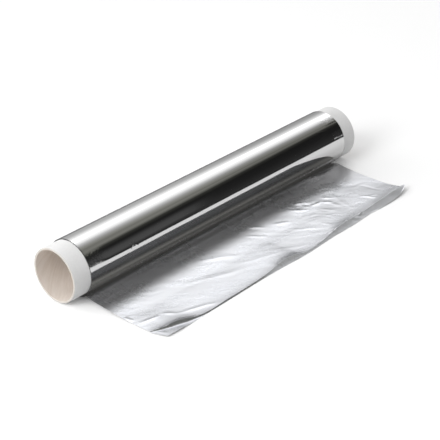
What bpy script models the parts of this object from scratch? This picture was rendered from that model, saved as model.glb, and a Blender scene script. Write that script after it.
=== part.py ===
# Roll of kitchen foil: aluminium foil wound on a paperboard core tube, with its loose end
# drawn out over the table. Metres, +Z up. X runs along the roll's axis, the loose leaf lies
# towards -Y, and the origin is on the table, under the axis and midway along the roll.

import math

import bmesh
import bpy
from mathutils import Vector

# Core tube
CORE_OUTER_RADIUS = 0.02205
CORE_WALL = 0.0014
CORE_OVERHANG = 0.0155  # bare board past the foil at each end
CORE_RIM_ROUND = 0.0003
CORE_STEPS = 72
RIM_STEPS = 2

# Wound foil: each modelled turn stands for a bundle of the real foil's turns
FOIL_WIDTH = 0.300
FOIL_THICKNESS = 0.00019
TURN_GAP = 0.00008
TURN_COUNT = 3
TURN_STEPS = 60
TURN_BANDS = 4
TURN_DRIFT = 0.0006  # how far the turns wander sideways, which steps the roll's ends
DRIFT_CYCLES_SHARE = 1.6
CORE_CLEARANCE = 0.0003
FLAT_DEPTH = 0.0002  # how far the roll's weight flattens its underside

# Loose leaf
LEAF_LENGTH = 0.1005
LEAF_COLUMNS = 48
LEAF_ROWS = 26
ROW_CROWD_SHARE = 0.45  # how much closer the rows stand near the roll and near the crest
LIP_ROWS = 3
LEAF_DRIFT = 0.0017  # the leaf was pulled off a little to the left of the roll
CORNER_PULL = 0.0030  # how far the near corner's tip is drawn in
CORNER_WIDTH_SHARE = 0.10
CORNER_REACH_SHARE = 0.14
BOW_HEIGHT = 0.0056  # the leaf springs up where it leaves the roll, then sinks to the table
BOW_START = 0.0035
BOW_TOP = 0.0180
BOW_END = 0.0640
BOW_TAIL_SHARE = 0.40  # part of the bow that sinks slowly, all the way to the crest
CREST_HEIGHT = 0.0040  # ridge along the leaf's front, where its edge turns down
CREST_POWER = 6
CREST_SOFT_SHARE = 0.40  # part of the rise to the crest that is a soft slope
CREASE_HEIGHT = 0.0005
CREASE_WIDTH = 0.0050
PUFF_HEIGHT = 0.0002
CREASE_START_SHARE = 0.20  # part of the leaf next to the roll without creases

MERGE_DISTANCE = 0.00001
SHARP_ANGLE = math.radians(35)

# Sizes worked out from the ones above
TURN_PITCH = FOIL_THICKNESS + TURN_GAP
WINDING = TURN_COUNT * TURN_PITCH + FOIL_THICKNESS
ROLL_RADIUS = CORE_OUTER_RADIUS + CORE_CLEARANCE + FLAT_DEPTH + WINDING
AXIS_HEIGHT = ROLL_RADIUS - FLAT_DEPTH
CORE_LENGTH = FOIL_WIDTH + 2 * CORE_OVERHANG

# The leaf's front, from the near corner to the far one: place along the width, how far out
# the crest and the cut edge reach, where the rise to the crest starts, the heights of the
# crest and of the edge, the slope of the turned-down lip, and the height and the length of
# the bow. Reaches are shares of LEAF_LENGTH, heights of CREST_HEIGHT and of BOW_HEIGHT.
LEAF_FRONT_SHARES = (
    (-0.500, 0.845, 0.995, 0.50, 0.15, 0.30, 1.00, 0.66, 1.00),
    (-0.460, 0.895, 1.000, 0.55, 0.45, 0.34, 1.00, 0.69, 1.00),
    (-0.425, 0.922, 0.998, 0.60, 0.60, 0.20, 1.00, 0.71, 1.00),
    (-0.395, 0.950, 0.993, 0.60, 0.42, 0.05, 1.00, 0.72, 1.00),
    (-0.360, 0.974, 0.988, 0.60, 0.22, 0.00, 0.90, 0.73, 1.00),
    (-0.260, 0.970, 0.980, 0.60, 0.20, 0.00, 0.80, 0.75, 1.00),
    (-0.145, 0.958, 0.970, 0.60, 0.22, 0.00, 0.70, 0.79, 1.00),
    (-0.090, 0.943, 0.968, 0.58, 0.32, 0.00, 0.50, 0.80, 1.00),
    (-0.055, 0.928, 0.969, 0.55, 0.50, 0.00, 0.50, 0.80, 1.00),
    (-0.008, 0.926, 0.974, 0.50, 0.60, 0.00, 0.50, 0.80, 1.00),
    (0.030, 0.951, 0.977, 0.50, 0.32, 0.00, 0.50, 0.80, 1.00),
    (0.065, 0.956, 0.973, 0.50, 0.23, 0.00, 0.50, 0.80, 1.00),
    (0.112, 0.944, 0.966, 0.50, 0.28, 0.00, 0.50, 0.80, 1.00),
    (0.162, 0.925, 0.957, 0.48, 0.40, 0.00, 0.50, 0.80, 1.00),
    (0.206, 0.905, 0.957, 0.45, 0.62, 0.00, 0.48, 0.80, 1.00),
    (0.250, 0.902, 0.956, 0.42, 0.66, 0.00, 0.48, 0.80, 1.00),
    (0.300, 0.896, 0.945, 0.42, 0.60, 0.00, 0.48, 0.76, 0.97),
    (0.330, 0.893, 0.940, 0.42, 0.58, 0.05, 0.48, 0.74, 0.95),
    (0.370, 0.890, 0.945, 0.45, 0.70, 0.30, 0.45, 0.69, 0.93),
    (0.405, 0.893, 0.945, 0.50, 0.90, 0.62, 0.40, 0.58, 0.84),
    (0.440, 0.898, 0.930, 0.58, 1.02, 0.88, 0.25, 0.49, 0.73),
    (0.470, 0.905, 0.922, 0.66, 1.12, 1.08, 0.10, 0.44, 0.67),
    (0.500, 0.888, 0.900, 0.76, 1.20, 1.28, 0.10, 0.40, 0.62),
)

# Creases in the leaf: both ends as shares of FOIL_WIDTH and LEAF_LENGTH, then the height as a
# share of CREASE_HEIGHT.
LEAF_CREASE_SHARES = (
    (-0.500, 0.700, -0.275, 0.920, 0.8),
    (-0.500, 0.820, -0.470, 0.930, 0.7),
    (-0.300, 0.560, -0.100, 0.800, 0.5),
    (-0.120, 0.480, 0.030, 0.700, 0.6),
    (0.010, 0.270, 0.110, 0.440, 0.9),
    (0.030, 0.400, 0.150, 0.560, 0.7),
    (0.090, 0.630, 0.230, 0.800, 0.6),
    (0.160, 0.280, 0.250, 0.460, 1.0),
    (0.240, 0.330, 0.300, 0.560, 0.8),
    (0.250, 0.600, 0.370, 0.740, 0.6),
    (0.350, 0.420, 0.430, 0.640, 0.7),
    (0.370, 0.640, 0.480, 0.760, 0.9),
)


def smooth_step(value):
    value = min(max(value, 0.0), 1.0)
    return value * value * (3 - 2 * value)


def read_shares(table, place, column):
    """One column of a table of shares, read at a place along the width on a smooth curve."""
    last = len(table) - 1
    start = 0
    while start < last - 1 and place > table[start + 1][0]:
        start += 1
    low, high = table[start], table[start + 1]
    span = high[0] - low[0]
    before, after = table[max(start - 1, 0)], table[min(start + 2, last)]
    slope_low = (high[column] - before[column]) / (high[0] - before[0]) * span
    slope_high = (after[column] - low[column]) / (after[0] - low[0]) * span
    t = (place - low[0]) / span
    rise = high[column] - low[column]
    curve = slope_low * t * (1 - t) ** 2 - slope_high * t * t * (1 - t)
    return low[column] + rise * smooth_step(t) + curve


def crease_height(place, reach):
    """Height that the creases add at a place along the width and a reach along the leaf."""
    point = Vector((place * FOIL_WIDTH, reach * LEAF_LENGTH))
    height = 0.0
    for start_place, start_reach, end_place, end_reach, height_share in LEAF_CREASE_SHARES:
        start = Vector((start_place * FOIL_WIDTH, start_reach * LEAF_LENGTH))
        end = Vector((end_place * FOIL_WIDTH, end_reach * LEAF_LENGTH))
        line = end - start
        along = (point - start).dot(line) / line.length_squared
        if 0 <= along <= 1:
            away = (point - start - line * along).length
            ridge = max(0.0, 1 - away / CREASE_WIDTH) * math.sin(math.pi * along)
            height = max(height, height_share * ridge * CREASE_HEIGHT)
    return height


def bow_height(place, away):
    """Height of the bow at a distance away from the roll's lowest line."""
    reach = read_shares(LEAF_FRONT_SHARES, place, 8)
    steep = smooth_step((away - BOW_TOP) / ((BOW_END - BOW_TOP) * reach))
    gentle = smooth_step((away - BOW_TOP) / ((LEAF_LENGTH - BOW_TOP) * reach))
    sunk = steep + (gentle - steep) * BOW_TAIL_SHARE
    sprung = smooth_step((away - BOW_START) / (BOW_TOP - BOW_START))
    return sprung * (1 - sunk) * read_shares(LEAF_FRONT_SHARES, place, 7) * BOW_HEIGHT


def leaf_point(place, rows_out):
    """A point of the leaf's underside: rows 0 to LEAF_ROWS run from the roll to the crest,
    and LIP_ROWS more run down to the cut edge."""
    crest_reach, edge_reach, rise_start, crest_share, edge_share, slope = (
        read_shares(LEAF_FRONT_SHARES, place, column) for column in range(1, 7))
    crest, edge = max(crest_share, 0.0) * CREST_HEIGHT, max(edge_share, 0.0) * CREST_HEIGHT
    out = min(rows_out / LEAF_ROWS, 1.0)
    out -= math.sin(math.tau * out) * ROW_CROWD_SHARE / math.tau
    down = max(rows_out - LEAF_ROWS, 0) / LIP_ROWS
    reach = crest_reach * out + (edge_reach - crest_reach) * down
    away = reach * LEAF_LENGTH
    rise = min(max((out - rise_start) / (1 - rise_start), 0.0), 1.0)
    rise = smooth_step(rise) * CREST_SOFT_SHARE + rise ** CREST_POWER * (1 - CREST_SOFT_SHARE)
    run = (edge_reach - crest_reach) * LEAF_LENGTH * down
    height = max(crest * rise - run * slope, edge * down) + bow_height(place, away)
    settled = smooth_step((reach - CREASE_START_SHARE) / CREASE_START_SHARE)
    puff = PUFF_HEIGHT * math.sin(math.tau * (place - reach)) ** 2
    fade = smooth_step((1 - out) * LEAF_ROWS / LIP_ROWS)
    height += settled * (crease_height(place, reach) + puff) * fade
    drift = smooth_step(reach / CREASE_START_SHARE) * LEAF_DRIFT
    outermost = smooth_step((reach - 1) / CORNER_REACH_SHARE + 1)
    pull = outermost * smooth_step((-place - 0.5) / CORNER_WIDTH_SHARE + 1)
    return Vector((place * FOIL_WIDTH - drift + pull * CORNER_PULL, -away, height))


def wound_point(place, angle):
    """A point of the wound sheet's outer side, at an angle wound on from the table."""
    radius = ROLL_RADIUS - TURN_PITCH * angle / math.tau
    drift = TURN_DRIFT * math.sin(DRIFT_CYCLES_SHARE * angle / TURN_COUNT)
    sheets_below = round(angle / math.tau)
    height = AXIS_HEIGHT - radius * math.cos(angle)
    floor = sheets_below * TURN_PITCH
    return Vector((place * FOIL_WIDTH + drift, radius * math.sin(angle), max(height, floor)))


def make_material(name, colour, metallic, roughness):
    material = bpy.data.materials.new(name)
    material.use_nodes = True
    shader = material.node_tree.nodes["Principled BSDF"]
    shader.inputs["Base Color"].default_value = (*colour, 1)
    shader.inputs["Metallic"].default_value = metallic
    shader.inputs["Roughness"].default_value = roughness
    return material


def finish(piece, collection, material):
    """Turn a piece with its modifiers into a plain mesh, shaded smooth but for its rims."""
    collection.objects.link(piece)
    bpy.context.view_layer.update()
    depsgraph = bpy.context.evaluated_depsgraph_get()
    mesh = bpy.data.meshes.new_from_object(piece.evaluated_get(depsgraph))
    piece.modifiers.clear()
    piece.data = mesh
    mesh.name = piece.name
    mesh.materials.clear()
    mesh.materials.append(material)
    mesh.shade_smooth()
    mesh.set_sharp_from_angle(angle=SHARP_ANGLE)


def make_core_tube(collection, material):
    """The paperboard tube: a turned wall with softened rims, laid along X."""
    half = CORE_LENGTH / 2
    outer, inner = CORE_OUTER_RADIUS, CORE_OUTER_RADIUS - CORE_WALL
    profile = bpy.data.meshes.new("core_profile")
    wall = [(outer, 0, half), (outer, 0, -half), (inner, 0, -half), (inner, 0, half)]
    profile.from_pydata(wall, [(0, 1), (1, 2), (2, 3), (3, 0)], [])
    tube = bpy.data.objects.new("core_tube", profile)
    turn = tube.modifiers.new("turn", "SCREW")
    turn.steps = turn.render_steps = CORE_STEPS
    turn.use_merge_vertices = True
    turn.merge_threshold = MERGE_DISTANCE
    rims = tube.modifiers.new("rims", "BEVEL")
    rims.width = min(CORE_RIM_ROUND, CORE_WALL / 3)
    rims.segments = RIM_STEPS
    rims.limit_method = "ANGLE"
    tube.rotation_euler = (0, math.pi / 2, 0)
    tube.location = (0, 0, AXIS_HEIGHT)
    finish(tube, collection, material)


def make_foil(collection, material):
    """The foil: one sheet from its cut edge, over the table, under the roll and round it."""
    sheet = bmesh.new()
    rows = []
    for rows_out in range(LEAF_ROWS + LIP_ROWS, -1, -1):
        places = [column / LEAF_COLUMNS - 0.5 for column in range(LEAF_COLUMNS + 1)]
        rows.append([sheet.verts.new(leaf_point(place, rows_out)) for place in places])
    for step in range(1, TURN_COUNT * TURN_STEPS + 1):
        angle = math.tau * step / TURN_STEPS
        places = [band / TURN_BANDS - 0.5 for band in range(TURN_BANDS + 1)]
        rows.append([sheet.verts.new(wound_point(place, angle)) for place in places])
    for row, next_row in zip(rows, rows[1:]):
        share = (len(row) - 1) // (len(next_row) - 1)
        for column in range(len(next_row) - 1):
            near = row[column * share:(column + 1) * share + 1]
            sheet.faces.new([next_row[column], next_row[column + 1], *reversed(near)])
    mesh = bpy.data.meshes.new("foil_sheet")
    sheet.to_mesh(mesh)
    sheet.free()
    foil = bpy.data.objects.new("foil", mesh)
    thicken = foil.modifiers.new("thicken", "SOLIDIFY")
    thicken.thickness = FOIL_THICKNESS
    thicken.offset = -1
    thicken.use_even_offset = True
    finish(foil, collection, material)


def main():
    for old in list(bpy.data.objects):
        bpy.data.objects.remove(old, do_unlink=True)
    collection = bpy.data.collections.new("foil_roll")
    bpy.context.scene.collection.children.link(collection)
    make_core_tube(collection, make_material("white_board", (0.84, 0.84, 0.83), 0.0, 0.8))
    make_foil(collection, make_material("bright_foil", (0.80, 0.80, 0.81), 1.0, 0.2))


main()
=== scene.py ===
import math

import bpy
from mathutils import Matrix, Vector


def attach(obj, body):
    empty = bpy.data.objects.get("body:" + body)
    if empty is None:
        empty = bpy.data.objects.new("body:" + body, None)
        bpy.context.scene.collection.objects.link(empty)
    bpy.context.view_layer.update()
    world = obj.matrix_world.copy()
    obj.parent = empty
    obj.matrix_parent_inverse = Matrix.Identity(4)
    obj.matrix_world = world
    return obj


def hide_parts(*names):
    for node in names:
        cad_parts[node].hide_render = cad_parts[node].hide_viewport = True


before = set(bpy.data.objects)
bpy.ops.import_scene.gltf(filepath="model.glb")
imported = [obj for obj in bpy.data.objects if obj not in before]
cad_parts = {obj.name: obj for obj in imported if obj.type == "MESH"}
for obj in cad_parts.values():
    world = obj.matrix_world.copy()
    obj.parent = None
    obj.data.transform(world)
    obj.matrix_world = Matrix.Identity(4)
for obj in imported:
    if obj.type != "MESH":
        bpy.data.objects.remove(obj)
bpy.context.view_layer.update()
print("frame loaded:", sorted(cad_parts))


class Wire:
    # one output socket; Python arithmetic on it adds Math nodes to its tree
    def __init__(self, graph, socket):
        self.graph = graph
        self.socket = socket

    def calc(self, operation, *terms):
        return self.graph.node("ShaderNodeMath", {"operation": operation}, dict(enumerate(terms)))

    def __add__(self, other):
        return self.calc("ADD", self, other)

    def __radd__(self, other):
        return self.calc("ADD", other, self)

    def __sub__(self, other):
        return self.calc("SUBTRACT", self, other)

    def __rsub__(self, other):
        return self.calc("SUBTRACT", other, self)

    def __mul__(self, other):
        return self.calc("MULTIPLY", self, other)

    def __rmul__(self, other):
        return self.calc("MULTIPLY", other, self)

    def __truediv__(self, other):
        return self.calc("DIVIDE", self, other)

    def __rtruediv__(self, other):
        return self.calc("DIVIDE", other, self)

    def __pow__(self, other):
        return self.calc("POWER", self, other)

    def __neg__(self):
        return self.calc("MULTIPLY", self, -1.0)

    def __abs__(self):
        return self.calc("ABSOLUTE", self)

    def __gt__(self, other):
        return self.calc("GREATER_THAN", self, other)

    def least(self, other):
        return self.calc("MINIMUM", self, other)

    def most(self, other):
        return self.calc("MAXIMUM", self, other)

    def sine(self):
        return self.calc("SINE", self)

    def cosine(self):
        return self.calc("COSINE", self)

    def held(self):
        # kept between 0 and 1
        settings = {"operation": "ADD", "use_clamp": True}
        return self.graph.node("ShaderNodeMath", settings, {0: self, 1: 0.0})

    def smooth(self, low, high):
        # 0 below low, 1 above high, with a soft rise between
        sockets = {"Value": self, "From Min": low, "From Max": high}
        return self.graph.node("ShaderNodeMapRange", {"interpolation_type": "SMOOTHSTEP"}, sockets)


class Graph:
    # one node tree, of a material, the world or a Geometry Nodes piece
    def __init__(self, tree):
        self.tree = tree

    def node(self, kind, settings=None, sockets=None, output=0):
        made = self.tree.nodes.new(kind)
        for name, value in (settings or {}).items():
            if name == "stops":
                ramp = made.color_ramp.elements
                while len(ramp) < len(value):
                    ramp.new(1.0)
                for element, (place, colour) in zip(ramp, value):
                    element.position = place
                    element.color = colour
            elif name == "curve":
                line = made.mapping.curves[0]
                while len(line.points) < len(value):
                    line.points.new(1.0, 1.0)
                for point, (across, up) in zip(line.points, value):
                    point.location = (across, up)
                    point.handle_type = "AUTO"
                made.mapping.update()
            else:
                setattr(made, name, value)
        for key, value in (sockets or {}).items():
            if isinstance(value, Wire):
                self.tree.links.new(value.socket, made.inputs[key])
            else:
                made.inputs[key].default_value = value
        return Wire(self, made.outputs[output])

    def vector(self, x=0.0, y=0.0, z=0.0):
        return self.node("ShaderNodeCombineXYZ", None, {0: x, 1: y, 2: z})

    def parts(self, vector):
        split = self.node("ShaderNodeSeparateXYZ", None, {0: vector}).socket.node
        return [Wire(self, socket) for socket in split.outputs]

    def noise(self, vector, scale=1.0, detail=2.0, roughness=0.5):
        sockets = {"Vector": vector, "Scale": scale, "Detail": detail, "Roughness": roughness}
        return self.node("ShaderNodeTexNoise", {"noise_dimensions": "3D"}, sockets)

    def spread(self, u, v, pattern):
        # noise over a sheet; a pattern is the scale each way, the seed, the detail and the roughness
        scaleU, scaleV, seed, detail, roughness = pattern
        return self.noise(self.vector(u * scaleU, v * scaleV, seed), 1.0, detail, roughness)

    def bump(self, height):
        return self.node("ShaderNodeBump", None, {"Strength": 1.0, "Distance": 0.001, "Height": height})

    def mixColour(self, share, first, second, blend="MIX"):
        return self.node("ShaderNodeMix", {"data_type": "RGBA", "blend_type": blend},
                         {0: share, 6: first, 7: second}, 2)

    def mixVector(self, share, first, second):
        return self.node("ShaderNodeMix", {"data_type": "VECTOR"}, {0: share, 4: first, 5: second}, 1)


def grey(level):
    return (level, level, level, 1.0)


def band(value, edges):
    # 1 between the two inner edges, 0 outside the two outer ones
    return value.smooth(edges[0], edges[1]) * (1 - value.smooth(edges[2], edges[3]))


# the camera stands where the photograph was taken from
cameraValues = {
    "place": (-0.82269, -0.80786, 0.60352),
    "right": (0.6789782, -0.733142, -0.03861873),
    "down": (-0.36291248, -0.2894445, -0.88572931),
    "ahead": (0.63818739, 0.61540611, -0.46259288),
    "lens": 129.47,
    "sensor": 36.0,
    "near": 0.01,
    "far": 100.0,
}


def makeCamera():
    data = bpy.data.cameras.new("photoCamera")
    data.lens = cameraValues["lens"]
    data.sensor_width = cameraValues["sensor"]
    data.clip_start = cameraValues["near"]
    data.clip_end = cameraValues["far"]
    camera = bpy.data.objects.new("photoCamera", data)
    columns = [Vector(cameraValues["right"]), -Vector(cameraValues["down"]), -Vector(cameraValues["ahead"])]
    turn = Matrix(columns).transposed().to_4x4()
    camera.matrix_world = Matrix.Translation(cameraValues["place"]) @ turn
    bpy.context.scene.collection.objects.link(camera)
    bpy.context.scene.camera = camera


# studio: a white table, a curved reflector that only the foil mirrors, and two soft lamps
studioValues = {
    "tableSize": 12.0,
    "tableDrop": 0.0001,       # the table lies a hair under the foil
    "tableColour": 0.80,
    "tableNear": 0.98,         # what the camera itself sees of it
    "tableLift": 0.05,         # how much it glows for the camera
    "mirroredTable": 0.02,     # what the foil sees of it past its front and, in part, behind the roll, where a shadow of the roll is painted
    "tableFront": (-0.46, -0.26),
    "tableBack": (-0.10, 0.10),
    "frontShare": 0.87,
    "backShadowShare": 0.68,
    "tentRadius": 1.6,
    "tentLength": 24.0,
    "tentSteps": 96,
    "tentStrength": 1.8,
    "tentLean": (1.35, 17.0),           # the dark card hangs a little aslant: upright at, degrees
    "leanStart": (14.0, 30.0),
    "rightFade": (1.12, 1.55),          # the reflector is dimmer past here
    "rightDim": (0.21, 0.19),           # how much dimmer, and how much less so in the middle
    "rightMiddle": (-34.0, -26.0, -6.0, 2.0),
    "lowLight": 0.026,                  # a faint light low down in front, up to lowEnd
    "lowBand": (44.0, 64.0, 74.0, 84.0),
    "lowEnd": (1.19, 1.30),
    "tentWarmth": (1.0, 0.995, 0.90, 1.0),
    "warmBand": (-3.0, 16.0, 34.0, 50.0),
    "lamps": [((-1.8, -0.10, 1.25), 1.1, 24.0), ((-0.8, 1.7, 0.9), 1.2, 7.0)],   # place, width, power
    "lampAim": (0, 0, 0.02),
    "skyFill": 0.74,
    "skyLean": (-0.40, 0.50),  # more of it from the left and from behind
}

# brightness of the reflector, from the horizon behind the roll over the top to the front
tentStops = [
    (-90, 0.42), (-72, 0.46), (-66, 0.52), (-60, 0.61), (-54, 0.75), (-48, 0.92), (-44, 1.06),
    (-40, 1.30), (-36, 1.65), (-32, 1.8), (-28, 1.6), (-24, 1.28), (-20, 1.08), (-13, 0.90),
    (-5, 0.56), (2, 0.37), (9, 0.26), (13, 0.225), (17, 0.165), (22, 0.195), (27, 0.115),
    (32, 0.035), (42, 0.012), (62, 0.016), (80, 0.026), (90, 0.035),
]


def newMaterial(name):
    material = bpy.data.materials.new(name)
    material.use_nodes = True
    material.node_tree.nodes.clear()
    return material, Graph(material.node_tree)


def closeMaterial(graph, surface):
    end = graph.tree.nodes.new("ShaderNodeOutputMaterial")
    graph.tree.links.new(surface.socket, end.inputs["Surface"])


def seenByEye(graph):
    # 1 for rays of the camera, of gloss and through clear things
    paths = graph.node("ShaderNodeLightPath").socket.node.outputs
    names = ("Is Camera Ray", "Is Glossy Ray", "Is Transmission Ray")
    kinds = [Wire(graph, paths[name]) for name in names]
    return kinds[0].most(kinds[1]).most(kinds[2])


def makeTable():
    half = studioValues["tableSize"] / 2
    drop = -studioValues["tableDrop"]
    corners = [(-half, -half, drop), (half, -half, drop), (half, half, drop), (-half, half, drop)]
    mesh = bpy.data.meshes.new("table")
    mesh.from_pydata(corners, [], [(0, 1, 2, 3)])
    table = bpy.data.objects.new("table", mesh)
    bpy.context.scene.collection.objects.link(table)
    material, graph = newMaterial("whiteTable")
    paths = graph.node("ShaderNodeLightPath").socket.node.outputs
    direct = Wire(graph, paths["Is Camera Ray"]).most(Wire(graph, paths["Is Transmission Ray"]))
    gloss = Wire(graph, paths["Is Glossy Ray"])
    _, y, _ = graph.parts(graph.node("ShaderNodeTexCoord", None, None, "Object"))
    front = y.smooth(*studioValues["tableFront"])
    # painted shadow: behind the roll the table is darker in the foil's reflections
    back = 1 - y.smooth(*studioValues["tableBack"]) * studioValues["backShadowShare"]
    mirrored = gloss * (1 - front * back * studioValues["frontShare"])
    white, dark = grey(studioValues["tableColour"]), grey(studioValues["mirroredTable"])
    white = graph.mixColour(mirrored, white, dark)
    white = graph.mixColour(direct, white, grey(studioValues["tableNear"]))
    paint = graph.node("ShaderNodeBsdfDiffuse", None, {"Color": white})
    lift = graph.mixColour(direct * studioValues["tableLift"], grey(0), grey(1))
    glow = graph.node("ShaderNodeEmission", None, {"Color": lift})
    closeMaterial(graph, graph.node("ShaderNodeAddShader", None, {0: paint, 1: glow}))
    mesh.materials.append(material)


def makeTent():
    radius, steps = studioValues["tentRadius"], studioValues["tentSteps"]
    half = studioValues["tentLength"] / 2
    points, faces = [], []
    for step in range(steps + 1):
        angle = math.pi * (step / steps - 0.5)
        for x in (-half, half):
            points.append((x, -radius * math.sin(angle), radius * math.cos(angle)))
    for step in range(steps):
        faces.append((2 * step, 2 * step + 1, 2 * step + 3, 2 * step + 2))
    mesh = bpy.data.meshes.new("softTent")
    mesh.from_pydata(points, [], faces)
    tent = bpy.data.objects.new("softTent", mesh)
    bpy.context.scene.collection.objects.link(tent)
    material, graph = newMaterial("tentGlow")
    x, y, z = graph.parts(graph.node("ShaderNodeTexCoord", None, None, "Object"))
    upright, degreesOff = studioValues["tentLean"]
    lean = (x - upright).most(-1.0).least(1.0) * degreesOff
    angle = y.calc("ARCTAN2", -y, z) * (180 / math.pi)     # from straight up towards the front
    angle = angle + lean * angle.smooth(*studioValues["leanStart"])
    strength = studioValues["tentStrength"]
    stops = [((degrees + 90) / 180, grey(level / strength)) for degrees, level in tentStops]
    ramp = graph.node("ShaderNodeValToRGB", {"stops": stops}, {0: (angle + 90) / 180})
    dim, dimLess = studioValues["rightDim"]
    dim = dim - band(angle, studioValues["rightMiddle"]) * dimLess
    ramp = graph.mixColour(x.smooth(*studioValues["rightFade"]) * dim, ramp, grey(0))
    low = band(angle, studioValues["lowBand"]) * (1 - x.smooth(*studioValues["lowEnd"]))
    ramp = graph.mixColour(low * studioValues["lowLight"], ramp, grey(1))
    warm = band(angle, studioValues["warmBand"])
    ramp = graph.mixColour(warm, ramp, studioValues["tentWarmth"], "MULTIPLY")
    closeMaterial(graph, graph.node("ShaderNodeEmission", None, {"Color": ramp, "Strength": strength}))
    mesh.materials.append(material)
    tent.visible_camera = False
    tent.visible_shadow = False
    tent.visible_diffuse = False


def makeLamps():
    for place, width, power in studioValues["lamps"]:
        data = bpy.data.lights.new("softLamp", "AREA")
        data.shape = "SQUARE"
        data.size = width
        data.energy = power
        lamp = bpy.data.objects.new("softLamp", data)
        lamp.location = place
        aim = Vector(studioValues["lampAim"]) - Vector(place)
        lamp.rotation_euler = aim.to_track_quat("-Z", "Y").to_euler()
        lamp.visible_camera = False
        lamp.visible_glossy = False      # the foil mirrors the tent, not the lamps
        bpy.context.scene.collection.objects.link(lamp)


def makeWorld():
    world = bpy.data.worlds.new("whiteRoom")
    world.use_nodes = True
    world.node_tree.nodes.clear()
    graph = Graph(world.node_tree)
    x, y, _ = graph.parts(graph.node("ShaderNodeTexCoord", None, None, "Generated"))
    leanX, leanY = studioValues["skyLean"]
    fill = (x * leanX + y * leanY + 1.0) * studioValues["skyFill"]
    level = fill + seenByEye(graph) * (1 - fill)
    glow = graph.node("ShaderNodeBackground", None, {"Color": grey(1), "Strength": level})
    end = world.node_tree.nodes.new("ShaderNodeOutputWorld")
    world.node_tree.links.new(glow.socket, end.inputs["Surface"])
    bpy.context.scene.world = world


makeCamera()
makeTable()
makeTent()
makeLamps()
makeWorld()
scene = bpy.context.scene
scene.view_settings.view_transform = "Standard"
print("camera and studio ready")


def growingTree(name, sizes):
    # a Geometry Nodes tree with one named input for each size
    tree = bpy.data.node_groups.new(name, "GeometryNodeTree")
    tree.interface.new_socket("Geometry", in_out="OUTPUT", socket_type="NodeSocketGeometry")
    graph = Graph(tree)
    identifiers = {}
    for label, value in sizes.items():
        kind = "NodeSocketInt" if isinstance(value, int) else "NodeSocketFloat"
        socket = tree.interface.new_socket(label, in_out="INPUT", socket_type=kind)
        identifiers[label] = socket.identifier
    entry = tree.nodes.new("NodeGroupInput")
    wires = {label: Wire(graph, entry.outputs[label]) for label in sizes}
    return graph, wires, identifiers


def closeTree(graph, mesh, material):
    mesh = graph.node("GeometryNodeRealizeInstances", None, {0: mesh})
    mesh = graph.node("GeometryNodeSetMaterial", None, {0: mesh, 2: material})
    end = graph.tree.nodes.new("NodeGroupOutput")
    graph.tree.links.new(mesh.socket, end.inputs["Geometry"])


def plainMesh(piece):
    # what the modifiers show becomes the piece's own mesh, and they go
    bpy.context.view_layer.update()
    mesh = bpy.data.meshes.new_from_object(piece.evaluated_get(bpy.context.evaluated_depsgraph_get()))
    piece.modifiers.clear()
    piece.data = mesh
    mesh.name = piece.name


def growPiece(name, graph, sizes, identifiers):
    piece = bpy.data.objects.new(name, bpy.data.meshes.new(name))
    bpy.context.scene.collection.objects.link(piece)
    grow = piece.modifiers.new("grow", "NODES")
    grow.node_group = graph.tree
    for label, value in sizes.items():
        grow[identifiers[label]] = value
    plainMesh(piece)
    return piece


def finishPiece(piece, node):
    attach(piece, "root")
    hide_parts(node)


sheetThickness = 0.00002
windingThickness = 0.00003
cutEdgeAngle = math.radians(60)

# the outer turn and the loose leaf are one sheet, in metres
foilSizes = {
    "Foil width": 0.300,
    "Roll radius": 0.02355,
    "Axis height": 0.02335,
    "Turn pitch": 0.00027,
    "Turn drift": 0.0006,
    "Drift cycles": 0.5333,
    "Turns": 1.08,
    "Leaf length": 0.1005,
    "Crest height": 0.0040,
    "Leaf drift": 0.0017,
    "Corner pull": 0.0030,
    "Bow height": 0.0056,
    "Bow start": 0.0035,
    "Bow top": 0.018,
    "Bow end": 0.064,
    "Bow tail": 0.40,
    "Hug height": 0.0018,
    "Wrinkle height": 0.00016,
    "Lip crumple": 0.0015,
    "End crinkle": 0.00010,
    "Columns": 250,
    "Leaf rows": 118,
    "Lip rows": 12,
    "Turn rows": 54,
}

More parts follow.
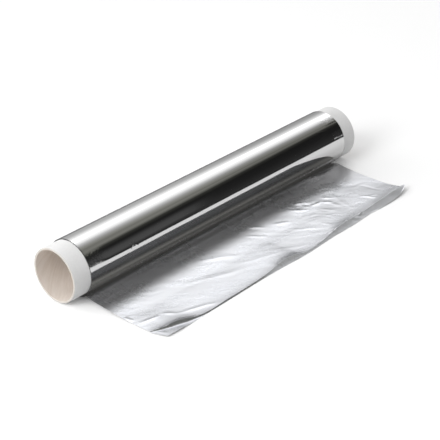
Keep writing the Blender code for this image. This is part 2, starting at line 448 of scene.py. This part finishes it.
# the leaf's front from the near corner to the far one: place along the width, reach of the
# crest and of the cut edge, start of the rise, height of the crest and of the edge, slope
# of the lip, height and length of the bow by the roll; shares of the sizes above
frontRows = [
    (-0.500, 0.845, 0.995, 0.50, 0.15, 0.30, 1.00, 0.66, 1.00),
    (-0.460, 0.895, 1.000, 0.55, 0.45, 0.34, 1.00, 0.69, 1.00),
    (-0.425, 0.922, 0.998, 0.60, 0.60, 0.20, 1.00, 0.71, 1.00),
    (-0.395, 0.950, 0.993, 0.60, 0.42, 0.05, 1.00, 0.72, 1.00),
    (-0.360, 0.974, 0.988, 0.60, 0.22, 0.00, 0.90, 0.73, 1.00),
    (-0.260, 0.970, 0.980, 0.60, 0.20, 0.00, 0.80, 0.75, 1.00),
    (-0.145, 0.958, 0.970, 0.60, 0.22, 0.00, 0.70, 0.79, 1.00),
    (-0.090, 0.943, 0.968, 0.58, 0.32, 0.00, 0.50, 0.80, 1.00),
    (-0.055, 0.928, 0.969, 0.55, 0.50, 0.00, 0.50, 0.80, 1.00),
    (-0.008, 0.926, 0.974, 0.50, 0.60, 0.00, 0.50, 0.80, 1.00),
    (0.030, 0.951, 0.977, 0.50, 0.32, 0.00, 0.50, 0.80, 1.00),
    (0.065, 0.956, 0.973, 0.50, 0.23, 0.00, 0.50, 0.80, 1.00),
    (0.112, 0.944, 0.966, 0.50, 0.28, 0.00, 0.50, 0.80, 1.00),
    (0.162, 0.925, 0.957, 0.48, 0.40, 0.00, 0.50, 0.80, 1.00),
    (0.206, 0.905, 0.957, 0.45, 0.62, 0.00, 0.48, 0.80, 1.00),
    (0.250, 0.902, 0.956, 0.42, 0.66, 0.00, 0.48, 0.80, 1.00),
    (0.300, 0.896, 0.945, 0.42, 0.60, 0.00, 0.48, 0.76, 0.97),
    (0.330, 0.893, 0.940, 0.42, 0.58, 0.05, 0.48, 0.74, 0.95),
    (0.370, 0.888, 0.950, 0.45, 0.72, 0.02, 0.46, 0.69, 0.93),
    (0.405, 0.886, 0.950, 0.50, 0.90, 0.08, 0.46, 0.58, 0.84),
    (0.440, 0.884, 0.946, 0.58, 1.02, 0.26, 0.46, 0.49, 0.73),
    (0.470, 0.886, 0.934, 0.66, 1.12, 0.62, 0.44, 0.44, 0.67),
    (0.500, 0.886, 0.902, 0.76, 1.20, 1.16, 0.20, 0.40, 0.62),
]
frontScale = 1.5   # the rows are stored as shares of this, because a curve node holds 0 to 1

# where the lip is crumpled most: place along the roll, and how quickly it dies away
crumpleBunches = [(0.088, 90), (0.104, 110), (0.046, 100)]

# creases of the leaf in millimetres: from x, y to x, y, height, half width
creaseRows = [
    (-150, -71, -130, -76, 0.45, 3.5), (-129, -75, -119, -82, 0.40, 3.0), (-123, -81, -84, -97, 0.45, 4.0),
    (-151, -84, -145, -98, 0.50, 2.0), (-150, -57, -150, -66, 0.80, 2.0),
    (-90, -56, -30, -80, 0.25, 5.0), (-60, -40, -20, -62, 0.20, 4.0), (-40, -66, 10, -86, 0.22, 5.0),
    (8, -35, 20, -47, 0.50, 2.5), (-2, -43, 12, -57, 0.35, 3.0), (26, -46, 43, -55, 0.35, 3.0),
    (53, -41, 67, -53, 0.50, 2.5), (65, -38, 72, -43, 0.70, 2.5), (70, -42, 73, -50, -0.50, 2.0),
    (72, -50, 86, -52, 0.60, 2.5), (84, -52, 90, -60, 0.60, 2.5), (88, -58, 89, -68, 0.40, 2.5),
    (88, -46, 98, -57, 0.50, 2.0), (74, -57, 81, -70, 0.35, 2.0), (67, -65, 73, -77, 0.35, 2.0),
    (56, -74, 60, -85, 0.35, 2.2), (113, -66, 122, -88, 0.80, 2.5), (130, -54, 135, -80, -0.60, 2.5),
    (116, -74, 126, -79, 0.50, 2.0), (125, -77, 124, -88, 0.50, 2.0), (101, -49, 95, -64, 0.30, 3.0),
    (96, -62, 93, -82, 0.30, 3.0), (30, -60, 55, -86, 0.30, 3.0), (-10, -70, 25, -92, 0.25, 4.0),
]


def frontCurve(graph, share, column):
    points = [(row[0] + 0.5, row[column] / frontScale) for row in frontRows]
    return graph.node("ShaderNodeFloatCurve", {"curve": points}, {1: share}) * frontScale


def creaseField(graph, x, y, rows):
    # sum of the ridges; each is a sharp line that dies away to both sides and both ends
    total = None
    for x0, y0, x1, y1, height, half in rows:
        length = math.hypot(x1 - x0, y1 - y0)
        dx, dy = (x1 - x0) / length, (y1 - y0) / length
        away = abs(x * (-1000 * dy) + y * (1000 * dx) + (x0 * dy - y0 * dx))
        along = x * (1000 * dx / length) + y * (1000 * dy / length) - (x0 * dx + y0 * dy) / length
        ridge = (1 - away / half).most(0.0) ** 1.6 * (along.held() * math.pi).sine()
        total = ridge * (height / 1000) if total is None else total + ridge * (height / 1000)
    return total


def foilTree(bright):
    graph, size, identifiers = growingTree("foilSheet", foilSizes)
    rows = size["Leaf rows"] + size["Lip rows"] + size["Turn rows"]
    sockets = {0: 1.0, 1: 1.0, 2: size["Columns"] + 1, 3: rows + 1}
    grid = graph.node("GeometryNodeMeshGrid", None, sockets)
    place, up, _ = graph.parts(graph.node("GeometryNodeInputPosition"))
    share = place + 0.5
    row = (up + 0.5) * rows
    width, length = size["Foil width"], size["Leaf length"]

    back = ((row - size["Lip rows"]) / size["Leaf rows"]).held()     # 0 at the crest, 1 under the roll
    out = 1 - back * (back * 0.80 + 0.20)                            # rows stand closest by the crest
    down = (1 - row / size["Lip rows"]).held() ** 1.5                # 0 at the crest, 1 at the cut edge
    turnRow = (row - size["Lip rows"] - size["Leaf rows"]).most(0.0)
    angle = turnRow / size["Turn rows"] * size["Turns"] * math.tau

    crestReach, edgeReach, riseStart, crestShare, edgeShare, slope, bowShare, bowReach = [
        frontCurve(graph, share, column) for column in range(1, 9)]
    crest = crestShare * size["Crest height"]
    edge = edgeShare * size["Crest height"]
    reach = crestReach * out + (edgeReach - crestReach) * down
    x = place * width - reach.smooth(0.0, 0.30) * size["Leaf drift"]
    x = x + reach.smooth(0.86, 1.0) * (-place).smooth(0.40, 0.50) * size["Corner pull"]
    y = reach * -length

    # height of the leaf: bow by the roll, rise to the crest, fall of the lip, creases, wrinkles
    rise = ((out - riseStart) / (1 - riseStart)).held()
    rise = rise.smooth(0.0, 1.0) * 0.35 + rise ** 9.0 * 0.65         # a soft slope and a sharp fold
    run = (edgeReach - crestReach) * length * down
    fall = (1 - run * slope / crest * 0.93).most(0.0) ** 1.12        # steeper by the fold than at the foot
    height = (crest * rise * fall).most(edge * down)
    steep = (-y).smooth(size["Bow top"], size["Bow top"] + (size["Bow end"] - size["Bow top"]) * bowReach)
    gentle = (-y).smooth(size["Bow top"], size["Bow top"] + (length - size["Bow top"]) * bowReach)
    bow = (-y).smooth(size["Bow start"], size["Bow top"])
    bow = bow * (1 - steep - (gentle - steep) * size["Bow tail"])
    height = height + bow * bowShare * size["Bow height"]
    hug = (-y).smooth(0.0125, 0.0175) * (1 - (-y).smooth(0.0175, 0.0265))    # it hugs the roll here
    height = height + hug * (bowShare * 1.25) ** 2.0 * size["Hug height"]
    free = reach.smooth(0.20, 0.36)
    wander = graph.noise(graph.vector(x, y, 0.0), 45.0, 2.0) - 0.5   # the creases aren't quite straight
    creases = creaseField(graph, x + wander * 0.004, y + wander * 0.003, creaseRows)
    along = x * 0.80 - y * 0.60
    across = x * 0.60 + y * 0.80
    streak = graph.noise(graph.vector(along * 22.0, across * 95.0 + wander * 2.0, 3.0), 1.0, 3.0, 0.55)
    streak = 1 - abs(streak - 0.5) * 4.0
    streak = streak.most(0.0) ** 1.5
    busy = 0.35 + share.smooth(0.45, 0.75) * 0.65
    height = height + free * (creases * 0.6 + streak * busy * size["Wrinkle height"])

    # crumple of the lip
    crumple = graph.noise(graph.vector(x, y * 1.6, 0.0), 300.0, 3.0, 0.65) - 0.5
    nearCrest = out.smooth(0.94, 1.0) * (share.smooth(0.46, 0.60) + (0.16 - share).smooth(0.0, 0.05) * 0.8)
    nearCrest = nearCrest * (1 - down.smooth(0.3, 1.0))
    bunches = None
    for middle, sharpness in crumpleBunches:
        bunch = (1 - abs(x - middle) * sharpness).held()
        bunches = bunch if bunches is None else bunches + bunch
    nearCrest = nearCrest * (bunches * 0.8 + 0.25)
    height = (height + crumple * nearCrest * size["Lip crumple"]).most(0.0)
    y = y + crumple * nearCrest * size["Lip crumple"]
    leaf = graph.vector(x, y, height)

    # one turn round the roll
    edgeZone = abs(place).smooth(0.452, 0.497)
    crinkle = graph.noise(graph.vector(x * 1.2, angle * 0.026, 0.0), 330.0, 3.0, 0.6) - 0.45
    slowWave = graph.noise(graph.vector(x, angle * 0.0235, 7.0), 28.0, 1.0) - 0.5
    radius = size["Roll radius"] - size["Turn pitch"] * angle / math.tau
    radius = radius + edgeZone * crinkle * size["End crinkle"] + slowWave * 0.00005
    drift = (angle * size["Drift cycles"]).sine() * size["Turn drift"]
    floor = size["Turn pitch"] * (angle / math.tau).calc("ROUND", angle / math.tau)
    high = (size["Axis height"] - radius * angle.cosine()).most(floor)
    turn = graph.vector(x + drift, radius * angle.sine(), high)

    wound = row > (size["Leaf rows"] + size["Lip rows"] + 0.001)
    # metres along the sheet: the leaf counts up from the roll's underside, the turn down
    sheetMap = graph.vector(x, reach * length - angle * size["Roll radius"], 0.0)
    grid = graph.node("GeometryNodeStoreNamedAttribute", {"data_type": "FLOAT2", "domain": "CORNER"},
                      {0: grid, 2: "sheetMap", 3: sheetMap})
    grid = graph.node("GeometryNodeSetPosition", None, {0: grid, 2: graph.mixVector(wound, leaf, turn)})
    grid = graph.node("GeometryNodeFlipFaces", None, {0: grid})      # the bright side faces out
    closeTree(graph, grid, bright)
    return graph, identifiers


def makeFoil():
    graph, identifiers = foilTree(brightFoil)
    sheet = growPiece("foilSheet", graph, foilSizes, identifiers)
    sheet.data.materials.append(satinFoil)
    wall = sheet.modifiers.new("wall", "SOLIDIFY")
    wall.thickness = sheetThickness
    wall.offset = -1
    wall.material_offset = 1
    plainMesh(sheet)
    sheet.data.shade_smooth()
    sheet.data.set_sharp_from_angle(angle=cutEdgeAngle)      # the cut edges stay crisp
    finishPiece(sheet, "foil")
    print("foilSheet:", len(sheet.data.polygons), "faces")


# the wound foil under the outer turn: many fine turns whose ends don't quite line up
windingSizes = {
    "Foil width": 0.2996,
    "Inner radius": 0.02268,
    "Outer radius": 0.02316,
    "Axis height": 0.02335,
    "Turns": 7,
    "Steps in a turn": 96,
    "End spread": 0.00045,
}


def windingTree(bright):
    graph, size, identifiers = growingTree("woundFoil", windingSizes)
    rows = size["Turns"] * size["Steps in a turn"]
    grid = graph.node("GeometryNodeMeshGrid", None, {0: 1.0, 1: 1.0, 2: 6, 3: rows + 1})
    place, up, _ = graph.parts(graph.node("GeometryNodeInputPosition"))
    share = up + 0.5
    angle = share * size["Turns"] * math.tau
    radius = size["Inner radius"] + share * (size["Outer radius"] - size["Inner radius"])
    spread = graph.noise(graph.vector(angle * 0.11, place * 40.0, 2.0), 1.0, 2.0) - 0.5
    x = place * size["Foil width"] + spread * abs(place).smooth(0.1, 0.5) * size["End spread"] * 2
    point = graph.vector(x, -radius * angle.sine(), size["Axis height"] - radius * angle.cosine())
    sheetMap = graph.vector(x, angle * radius, 0.0)
    grid = graph.node("GeometryNodeStoreNamedAttribute", {"data_type": "FLOAT2", "domain": "CORNER"},
                      {0: grid, 2: "sheetMap", 3: sheetMap})
    grid = graph.node("GeometryNodeSetPosition", None, {0: grid, 2: point})
    closeTree(graph, grid, bright)
    return graph, identifiers


def makeWinding():
    graph, identifiers = windingTree(brightFoil)
    winding = growPiece("woundFoil", graph, windingSizes, identifiers)
    wall = winding.modifiers.new("wall", "SOLIDIFY")
    wall.thickness = windingThickness
    wall.offset = 0
    plainMesh(winding)
    winding.data.shade_smooth()
    winding.data.set_sharp_from_angle(angle=cutEdgeAngle)
    finishPiece(winding, "foil")
    print("woundFoil:", len(winding.data.polygons), "faces")


# patterns are (scale along the roll, scale along the sheet, seed, detail, roughness)
foilFinish = {
    "brightColour": (0.905, 0.905, 0.905, 1.0),
    "brightShade": (0.885, 0.885, 0.885, 1.0),
    "brightRoughness": 0.055,
    "rolling": (2600.0, 26.0, 0.0, 3.0, 0.6),
    "rollingHeight": 0.0018,
    "ripple": (4.0, 260.0, 5.0, 2.0, 0.5),
    "rippleHeight": 0.010,
    "waves": (55.0, 130.0, 9.0, 2.0, 0.5),
    "waveHeight": 0.012,
    "crinkle": (560.0, 430.0, 1.0, 3.0, 0.62),
    "crinkleHeight": 0.24,
    "crinkleEnds": (0.129, 0.142),
    "brightCloud": (30.0, 90.0, 4.0, 3.0, 0.6),
    "lines": (900.0, 9.0, 8.0, 2.0, 0.6),
    "satinColour": (0.888, 0.903, 0.945, 1.0),
    "satinShade": (0.872, 0.882, 0.908, 1.0),
    "paintedShadeByRoll": (0.56, 0.56, 0.575, 1.0),
    "satinRoughness": 0.28,
    "satinMetal": 0.97,
    "strokeHeight": 0.030,
    "fineHeight": 0.008,
    "grain": (1900.0, 70.0, 6.0, 2.0, 0.6),
    "grainHeight": 0.0015,
    "satinCloud": (25.0, 40.0, 4.0, 3.0, 0.6),
    "noGlow": (0.0, 0.0, 0.0, 1.0),
    "paintedGlow": (0.050, 0.049, 0.046, 1.0),     # painted light: a glow in the gap where the roll and the leaf meet, standing in for light bounced there
}

# bands along the sheet where the roll's near end and its far end are crinkled
nearCrinkles = [(-0.1055, -0.1015, -0.0955, -0.0915)]
farCrinkles = [(-0.1035, -0.1015, -0.0970, -0.0950), (-0.0895, -0.0875, -0.0825, -0.0805)]

# short creases pinched into the outer turn, in millimetres: along the width and along the
# sheet from one end to the other, height, half width
pinchRows = [
    (-109, -107, -101, -100, 0.030, 0.6), (-106, -98, -103, -111, 0.028, 0.5),
    (-104, -103, -98, -106, 0.024, 0.5), (-105, -103, -111, -100, 0.024, 0.5),
    (116, -98, 132, -95, 0.04, 1.2), (122, -91, 138, -94, 0.04, 1.0),
]


def sheetPlace(graph):
    # metres along the roll and along the sheet
    return graph.parts(graph.node("ShaderNodeUVMap", {"uv_map": "sheetMap"}))


def closeFoil(graph, colour, metal, roughness, bump, glow):
    shader = graph.node("ShaderNodeBsdfPrincipled", None,
                        {"Base Color": colour, "Metallic": metal, "Roughness": roughness, "Normal": bump,
                         "Emission Color": glow, "Emission Strength": 1.0})
    closeMaterial(graph, shader)


def brightMaterial():
    # mill bright side: rolling lines along the sheet, faint ripples across it, crinkled ends
    material, graph = newMaterial("brightFoil")
    u, v, _ = sheetPlace(graph)
    look = foilFinish
    rolling = graph.spread(u, v, look["rolling"]) * look["rollingHeight"]
    ripple = graph.spread(u, v, look["ripple"]) * look["rippleHeight"]
    waves = graph.spread(u, v, look["waves"]) * look["waveHeight"]
    ends = abs(u).smooth(*look["crinkleEnds"])
    farHalf = u.smooth(-0.01, 0.01)
    patches = band(v, nearCrinkles[0]) * (1 - farHalf)
    patches = (patches + (band(v, farCrinkles[0]) + band(v, farCrinkles[1])) * farHalf).least(1.0)
    crinkle = graph.spread(u, v, look["crinkle"])
    height = rolling + ripple + waves + crinkle * ends * (patches * 0.90 + 0.10) * look["crinkleHeight"]
    height = height + creaseField(graph, u, v, pinchRows) * 1000.0
    cloud = graph.spread(u, v, look["brightCloud"])
    lines = graph.spread(u, v, look["lines"])
    roughness = look["brightRoughness"] + (cloud - 0.5) * 0.05 + (lines - 0.5) * 0.03
    colour = graph.mixColour(lines.smooth(0.35, 0.65) * 0.6, look["brightColour"], look["brightShade"])
    # painted light: a band of the roll near its underside, by the leaf, glows
    gap = (1 - v.smooth(-0.1175, -0.1135)) * (v.smooth(-0.1215, -0.1180) * 0.65 + 0.35)
    glow = graph.mixColour(gap, look["noGlow"], look["paintedGlow"])
    closeFoil(graph, colour, 1.0, roughness, graph.bump(height), glow)
    return material


def satinMaterial():
    # satin side: bluish grey, fine strokes and creases of handled foil
    material, graph = newMaterial("satinFoil")
    u, v, _ = sheetPlace(graph)
    wander = graph.noise(graph.vector(u, v, 0.0), 60.0, 2.0) - 0.5
    look = foilFinish
    along = u * 0.73 + v * 0.68
    across = u * 0.68 - v * 0.73
    slant = graph.vector(along * 85.0 + wander * 1.5, across * 380.0 + wander * 6.0, 0.0)
    strokes = graph.noise(slant, 1.0, 3.0, 0.6)
    strokes = (1 - abs(strokes - 0.5) * 5.0).most(0.0) ** 1.5
    fine = graph.noise(graph.vector(u, v, 2.0), 1100.0, 2.0, 0.6)
    grain = graph.spread(u, v, look["grain"])
    busy = graph.noise(graph.vector(u, v, 7.0), 22.0, 1.0).smooth(0.38, 0.62)
    free = v.smooth(0.030, 0.052)
    height = strokes * free * (busy * 0.7 + 0.3) * look["strokeHeight"]
    height = height + fine * free * (busy * 0.5 + 0.5) * look["fineHeight"] + grain * look["grainHeight"]
    cloud = graph.spread(u, v, look["satinCloud"])
    roughness = look["satinRoughness"] + (cloud - 0.5) * 0.10 + (grain - 0.5) * 0.05
    colour = graph.mixColour(cloud.smooth(0.35, 0.65) * 0.5, look["satinColour"], look["satinShade"])
    # painted shade: the leaf's colour is darker close to the roll
    colour = graph.mixColour(v.smooth(0.030, 0.051), look["paintedShadeByRoll"], colour)
    # painted light: the leaf glows just in front of the roll
    gap = v.smooth(0.0, 0.004) * (1 - v.smooth(0.013, 0.022)) * 0.16
    glow = graph.mixColour(gap, look["noGlow"], look["paintedGlow"])
    closeFoil(graph, colour, look["satinMetal"], roughness, graph.bump(height), glow)
    return material


# paperboard core
coreSizes = {
    "Length": 0.3318,
    "Near end": 0.0004,        # the near end stands this much further out
    "Outer radius": 0.0226,
    "Wall": 0.0017,
    "Edge round": 0.00055,
    "Axis height": 0.02335,
    "Segments": 192,
}

# how far off flat the cut ends are, as a share of their place along the core
rimRelief = 0.0018

coreFinish = {
    "paper": (0.795, 0.793, 0.79, 1.0),
    "paperShade": (0.745, 0.742, 0.738, 1.0),
    "cutEdge": (0.56, 0.53, 0.49, 1.0),
    "inside": (0.72, 0.655, 0.60, 1.0),
    "insideShade": (0.64, 0.565, 0.50, 1.0),
    "roughness": 0.72,
    "specular": 0.25,
}


def coreTree(board):
    # the wall's section, with soft corners, swept round the axis
    graph, size, identifiers = growingTree("coreTube", coreSizes)
    section = graph.node("GeometryNodeCurvePrimitiveQuadrilateral", {"mode": "RECTANGLE"},
                         {"Width": size["Wall"], "Height": size["Length"]})
    section = graph.node("GeometryNodeFilletCurve", {"mode": "POLY"},
                         {"Curve": section, "Radius": size["Edge round"], "Count": 5})
    middle = size["Outer radius"] - size["Wall"] / 2
    path = graph.node("GeometryNodeCurvePrimitiveCircle", {"mode": "RADIUS"},
                      {"Resolution": size["Segments"], "Radius": middle})
    tube = graph.node("GeometryNodeCurveToMesh", None, {"Curve": path, "Profile Curve": section})
    centre = graph.vector(-size["Near end"], 0.0, size["Axis height"])
    tube = graph.node("GeometryNodeTransform", None,
                      {"Geometry": tube, "Translation": centre, "Rotation": (0.0, math.pi / 2, 0.0)})
    x, y, z = graph.parts(graph.node("GeometryNodeInputPosition"))
    soft = graph.noise(graph.vector(x, y, z), 160.0, 3.0, 0.6) - 0.5
    rim = abs(x).smooth(0.1648, 0.1655)
    shift = graph.vector(soft * rim * x * -rimRelief, 0.0, 0.0)
    tube = graph.node("GeometryNodeSetPosition", None, {0: tube, 3: shift})
    closeTree(graph, tube, board)
    return graph, identifiers


def boardMaterial():
    # white paper outside, cream board inside, bare fibre on the cut ends
    material, graph = newMaterial("coreBoard")
    x, y, z = graph.parts(graph.node("ShaderNodeTexCoord", None, None, "Object"))
    z = z - coreSizes["Axis height"]
    radius = (y * y + z * z) ** 0.5
    angle = y.calc("ARCTAN2", y, z)
    inside = 1 - radius.smooth(coreSizes["Outer radius"] - 0.0015, coreSizes["Outer radius"] - 0.0011)
    cut = abs(x + coreSizes["Near end"]).smooth(0.16545, 0.16575)
    fibre = graph.noise(graph.vector(x, y, z), 700.0, 4.0, 0.65)
    mottle = graph.noise(graph.vector(x, y, z), 120.0, 2.0)
    turn = angle / math.tau + x * 7.5                          # the plies wind as a helix
    seam = 1 - abs(turn.calc("FRACT", turn + 0.30) - 0.5).smooth(0.0, 0.010)
    outer = graph.mixColour(fibre.smooth(0.3, 0.7) * 0.5 + mottle.smooth(0.35, 0.65) * 0.3,
                            coreFinish["paper"], coreFinish["paperShade"])
    streak = graph.noise(graph.vector(turn * 26.0, angle * 0.6 - x * 30.0, 0.0), 1.0, 3.0, 0.6)
    inner = graph.mixColour(streak.smooth(0.35, 0.68) * 0.7 + seam * 0.3,
                            coreFinish["inside"], coreFinish["insideShade"])
    colour = graph.mixColour(inside, outer, inner)
    colour = graph.mixColour(cut * (1 - inside * 0.5), colour, coreFinish["cutEdge"])
    height = fibre * 0.035 + mottle * 0.05 - seam * 0.06 + streak * inside * 0.08
    shader = graph.node("ShaderNodeBsdfPrincipled", None,
                        {"Base Color": colour, "Roughness": coreFinish["roughness"] + (fibre - 0.5) * 0.15,
                         "Specular IOR Level": coreFinish["specular"], "Normal": graph.bump(height)})
    closeMaterial(graph, shader)
    return material


def makeCore():
    graph, identifiers = coreTree(boardMaterial())
    core = growPiece("coreTube", graph, coreSizes, identifiers)
    core.data.shade_smooth()
    finishPiece(core, "core_tube")
    print("coreTube:", len(core.data.polygons), "faces")


brightFoil, satinFoil = brightMaterial(), satinMaterial()
makeFoil()
makeWinding()
makeCore()
